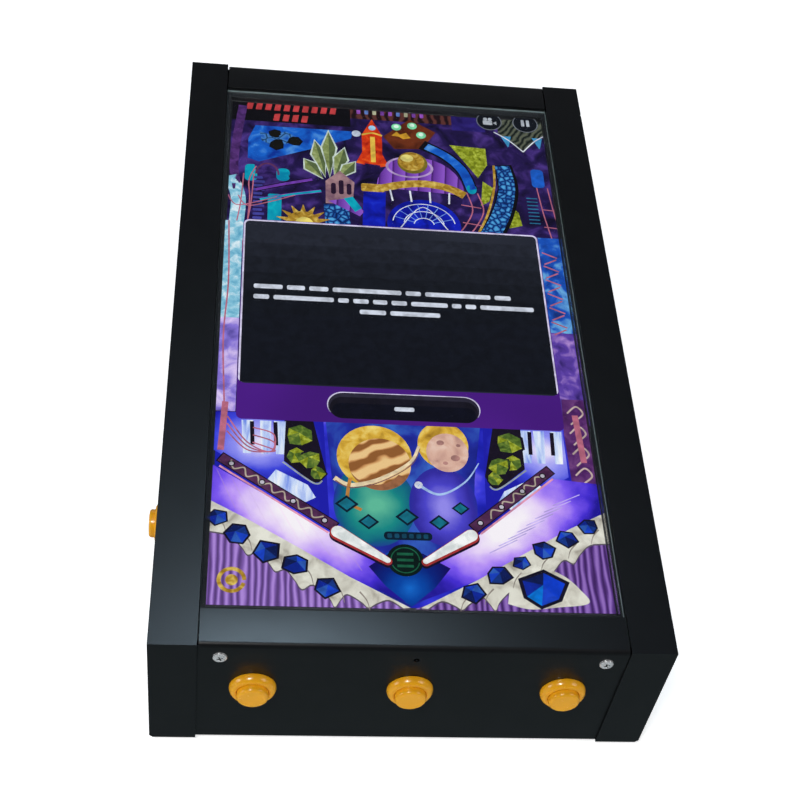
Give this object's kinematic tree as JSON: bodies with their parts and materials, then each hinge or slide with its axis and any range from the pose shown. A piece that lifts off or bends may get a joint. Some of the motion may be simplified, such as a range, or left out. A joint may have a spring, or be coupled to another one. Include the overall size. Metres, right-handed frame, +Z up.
{
  "type": "tabletop pinball machine",
  "caption": "Low steel arcade cabinet with a sloping glass-topped screen, push buttons on the front and sides, rubber feet, and a mains inlet and rocker switch behind.",
  "frame": {"origin": "centre of the bounding box at the underside of the rubber feet", "axes": "+X to the player's right, +Y from the front panel to the rear, +Z up"},
  "size_m": [0.392, 0.6142, 0.1987],
  "materials": {
    "powder_black": "satin black powder coat with a fine orange peel",
    "button_yellow": "glossy moulded plastic",
    "rubber_black": "matt rubber",
    "screw_chrome": "bright plated",
    "screw_dark": "black oxide",
    "zinc_steel": "zinc plated",
    "clear_glass": "clear polished glass with ground edges",
    "spacer_grey": "dark anodised, satin",
    "rim_black": "matt black",
    "screen_dark": "dark polarised screen, lit when on",
    "diffuser_white": "white diffuser",
    "back_aluminium": "mill finish",
    "board_green": "solder mask",
    "board_blue": "solder mask",
    "board_black": "solder mask",
    "brass": "turned",
    "speaker_black": "black",
    "cone_black": "treated paper",
    "moulded_black": "moulded nylon",
    "rocker_black": "glossy",
    "pin_red": "moulded",
    "spring_steel": "drawn wire"
  },
  "bodies": {
    "cabinet": {"side_panel_left": "powder_black", "side_panel_right": "powder_black", "front_panel": "powder_black", "front_lip": "powder_black", "rear_crossbar": "powder_black", "rear_panel": "powder_black", "base_plate": "powder_black", "rubber_feet": "rubber_black", "front_screws": "screw_chrome", "rear_screws": "screw_chrome", "base_screws": "screw_dark", "clinch_nuts": "zinc_steel", "playfield_glass": "clear_glass", "glass_spacer": "spacer_grey", "lip_seal": "rubber_black", "lcd_rim": "rim_black", "lcd_cell": "screen_dark", "lcd_backlight": "diffuser_white", "lcd_back_plate": "back_aluminium", "lcd_brackets": "zinc_steel", "lcd_driver_board": "board_green", "main_board": "board_green", "main_board_heatsink": "back_aluminium", "power_supply": "back_aluminium", "amplifier_board": "board_blue", "button_encoder_board": "board_black", "board_standoffs": "brass", "speaker_baskets": "speaker_black", "speaker_cones": "cone_black", "mains_inlet": "moulded_black", "inlet_pins": "brass", "inlet_screws": "screw_chrome", "power_switch_body": "moulded_black", "button_nuts": "button_yellow", "button_front_left_housing": "button_yellow", "button_front_left_spring": "spring_steel", "button_front_left_switch": "moulded_black", "button_front_center_housing": "button_yellow", "button_front_center_spring": "spring_steel", "button_front_center_switch": "moulded_black", "button_front_right_housing": "button_yellow", "button_front_right_spring": "spring_steel", "button_front_right_switch": "moulded_black", "button_side_left_housing": "button_yellow", "button_side_left_spring": "spring_steel", "button_side_left_switch": "moulded_black", "button_side_right_housing": "button_yellow", "button_side_right_spring": "spring_steel", "button_side_right_switch": "moulded_black"},
    "power_rocker": {"power_switch_rocker": "rocker_black"},
    "front_left_button": {"button_front_left_plunger": "button_yellow", "button_front_left_switch_pin": "pin_red"},
    "front_center_button": {"button_front_center_plunger": "button_yellow", "button_front_center_switch_pin": "pin_red"},
    "front_right_button": {"button_front_right_plunger": "button_yellow", "button_front_right_switch_pin": "pin_red"},
    "side_left_button": {"button_side_left_plunger": "button_yellow", "button_side_left_switch_pin": "pin_red"},
    "side_right_button": {"button_side_right_plunger": "button_yellow", "button_side_right_switch_pin": "pin_red"}
  },
  "joints": [
    {"name": "front_left_button_press", "type": "slide", "parent": "cabinet", "child": "front_left_button", "axis": [0, 1, 0], "range_m": [0, 0.0025], "stiffness_N_per_m": 300, "springref_m": -0.004, "deforming": ["button_front_left_spring"]},
    {"name": "front_center_button_press", "type": "slide", "parent": "cabinet", "child": "front_center_button", "axis": [0, 1, 0], "range_m": [0, 0.0025], "stiffness_N_per_m": 300, "springref_m": -0.004, "deforming": ["button_front_center_spring"]},
    {"name": "front_right_button_press", "type": "slide", "parent": "cabinet", "child": "front_right_button", "axis": [0, 1, 0], "range_m": [0, 0.0025], "stiffness_N_per_m": 300, "springref_m": -0.004, "deforming": ["button_front_right_spring"]},
    {"name": "side_left_button_press", "type": "slide", "parent": "cabinet", "child": "side_left_button", "axis": [1, 0, 0], "range_m": [0, 0.0025], "stiffness_N_per_m": 300, "springref_m": -0.004, "deforming": ["button_side_left_spring"]},
    {"name": "side_right_button_press", "type": "slide", "parent": "cabinet", "child": "side_right_button", "axis": [-1, 0, 0], "range_m": [0, 0.0025], "stiffness_N_per_m": 300, "springref_m": -0.004, "deforming": ["button_side_right_spring"]},
    {"name": "power_rocker_tilt", "type": "hinge", "parent": "cabinet", "child": "power_rocker", "pos_m": [0.044, 0.30141, 0.047], "axis": [1, 0, 0], "range_deg": [0, 22]}
  ]
}
